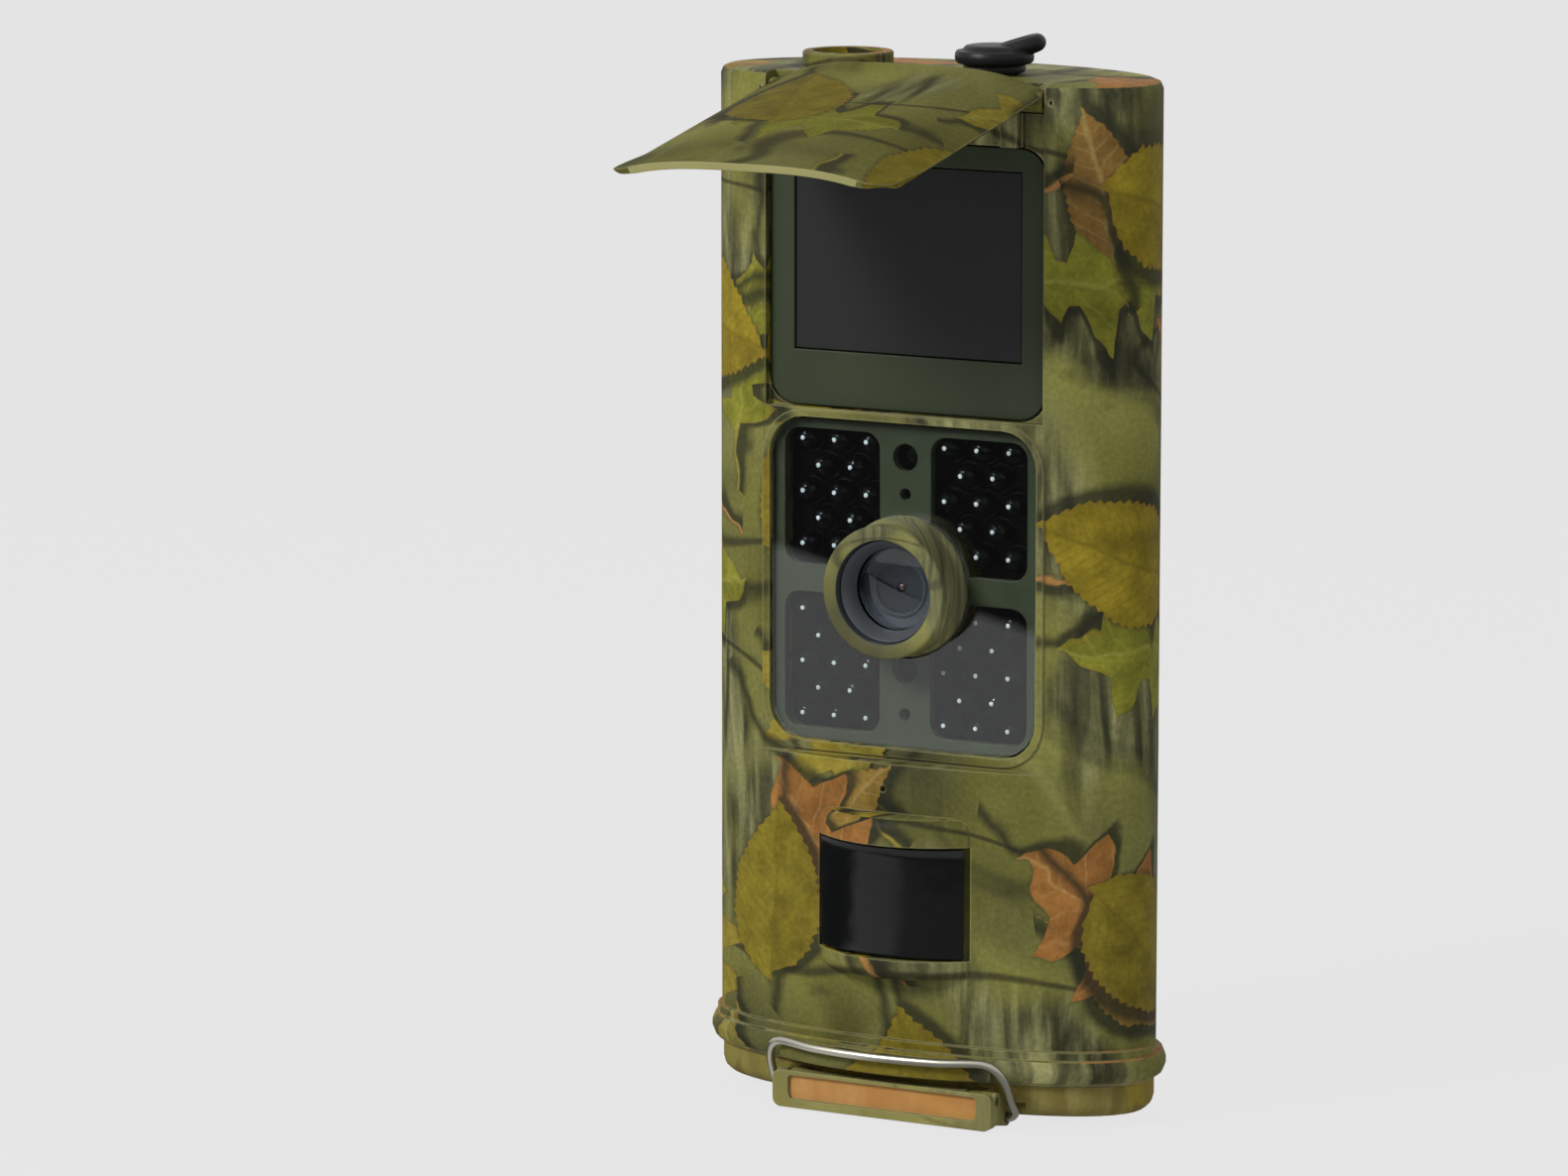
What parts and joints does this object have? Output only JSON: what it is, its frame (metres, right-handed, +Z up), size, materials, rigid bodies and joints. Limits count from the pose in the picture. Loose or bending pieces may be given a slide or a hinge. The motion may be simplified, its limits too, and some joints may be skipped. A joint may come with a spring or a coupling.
{
  "type": "trail camera",
  "caption": "Upright camouflaged trail camera with a flip-up visor over its screen, a lamp panel round the lens, a motion sensor window, a latched base cover and a rear strap bracket",
  "frame": {"origin": "the middle of the flat foot under the base cover, where the camera stands", "axes": "+Z up along the housing, front with the lens and screen towards -Y, +X to the right as seen from the front"},
  "size_m": [0.0892, 0.11, 0.1945],
  "materials": {
    "camouflage_plastic": "leaf and bark camouflage film on satin plastic",
    "dark_olive_plastic": "satin",
    "clear_plastic": "polished clear plastic",
    "tinted_window": "polished dark tint",
    "sensor_window_plastic": "semi-gloss dark plastic",
    "lens_glass": "coated glass",
    "grey_plastic": "satin",
    "black_plastic": "satin",
    "circuit_board": "solder mask",
    "bright_steel": "bright drawn steel",
    "brass_plate": "turned",
    "black_rubber": "moulded",
    "cell_jacket": "printed jacket, plain"
  },
  "bodies": {
    "housing": {"front_shell": "camouflage_plastic", "rear_shell": "camouflage_plastic", "strap_bracket": "camouflage_plastic", "lens_barrel": "camouflage_plastic", "lamp_mask": "dark_olive_plastic", "screen_frame": "dark_olive_plastic", "control_panel": "dark_olive_plastic", "lamp_cover": "clear_plastic", "screen_window": "tinted_window", "sensor_window": "sensor_window_plastic", "lens_front_glass": "lens_glass", "lens_retainer": "grey_plastic", "lamp_board": "black_plastic", "display_module": "black_plastic", "lens_cell": "black_plastic", "microphone": "black_plastic", "power_jack": "black_plastic", "av_jack": "black_plastic", "battery_sleeve": "black_plastic", "battery_tray": "black_plastic", "main_board": "circuit_board", "sensor_board": "circuit_board", "contact_board": "circuit_board", "key_board": "circuit_board", "sensor_can": "bright_steel", "base_hinge_pin": "bright_steel", "card_socket": "bright_steel", "usb_port": "bright_steel", "antenna_connector": "brass_plate", "tripod_insert": "brass_plate", "cell_1": "cell_jacket", "cell_2": "cell_jacket", "cell_3": "cell_jacket", "cell_4": "cell_jacket", "cell_5": "cell_jacket", "cell_6": "cell_jacket", "cell_7": "cell_jacket", "cell_8": "cell_jacket"},
    "visor": {"visor_lid": "camouflage_plastic", "visor_pin": "bright_steel"},
    "base": {"base_cover": "camouflage_plastic", "base_seal": "black_rubber"},
    "lever": {"latch_lever": "camouflage_plastic", "lever_pin": "bright_steel"},
    "bail": {"latch_bail": "bright_steel"},
    "plug": {"rubber_plug": "black_rubber"},
    "switch_knob": {"mode_switch": "grey_plastic"},
    "card": {"memory_card": "black_plastic"},
    "button_menu": {"key_menu": "grey_plastic"},
    "button_up": {"key_up": "grey_plastic"},
    "button_down": {"key_down": "grey_plastic"},
    "button_left": {"key_left": "grey_plastic"},
    "button_right": {"key_right": "grey_plastic"},
    "button_ok": {"key_ok": "grey_plastic"}
  },
  "joints": [
    {"name": "lid_hinge", "type": "hinge", "parent": "housing", "child": "visor", "pos_m": [0, -0.0228, 0.1839], "axis": [1, 0, 0], "range_deg": [-10.8, 79.2]},
    {"name": "base_cover_hinge", "type": "hinge", "parent": "housing", "child": "base", "pos_m": [0, 0.0162, 0.0073], "axis": [1, 0, 0], "range_deg": [0, 95]},
    {"name": "latch_lever_hinge", "type": "hinge", "parent": "base", "child": "lever", "pos_m": [0, -0.0292, 0.0056], "axis": [1, 0, 0], "range_deg": [-64, 0]},
    {"name": "latch_bail_hinge", "type": "hinge", "parent": "lever", "child": "bail", "pos_m": [0, -0.0254, 0.002], "axis": [1, 0, 0], "range_deg": [0, 103]},
    {"name": "plug_pull", "type": "slide", "parent": "housing", "child": "plug", "axis": [0, 0, 1], "range_m": [0, 0.01]},
    {"name": "mode_switch_slide", "type": "slide", "parent": "housing", "child": "switch_knob", "axis": [1, 0, 0], "range_m": [-0.003, 0.003]},
    {"name": "card_slide", "type": "slide", "parent": "housing", "child": "card", "axis": [0, 0, 1], "range_m": [-0.008, 0.0008]},
    {"name": "press_menu", "type": "slide", "parent": "housing", "child": "button_menu", "axis": [0, 0, 1], "range_m": [0, 0.0006], "stiffness_N_per_m": 200, "springref_m": -0.001},
    {"name": "press_up", "type": "slide", "parent": "housing", "child": "button_up", "axis": [0, 0, 1], "range_m": [0, 0.0006], "stiffness_N_per_m": 200, "springref_m": -0.001},
    {"name": "press_down", "type": "slide", "parent": "housing", "child": "button_down", "axis": [0, 0, 1], "range_m": [0, 0.0006], "stiffness_N_per_m": 200, "springref_m": -0.001},
    {"name": "press_left", "type": "slide", "parent": "housing", "child": "button_left", "axis": [0, 0, 1], "range_m": [0, 0.0006], "stiffness_N_per_m": 200, "springref_m": -0.001},
    {"name": "press_right", "type": "slide", "parent": "housing", "child": "button_right", "axis": [0, 0, 1], "range_m": [0, 0.0006], "stiffness_N_per_m": 200, "springref_m": -0.001},
    {"name": "press_ok", "type": "slide", "parent": "housing", "child": "button_ok", "axis": [0, 0, 1], "range_m": [0, 0.0006], "stiffness_N_per_m": 200, "springref_m": -0.001}
  ],
  "couplings": [
    {"joint": "latch_bail_hinge", "follows": "latch_lever_hinge", "ratio": -1.6}
  ]
}
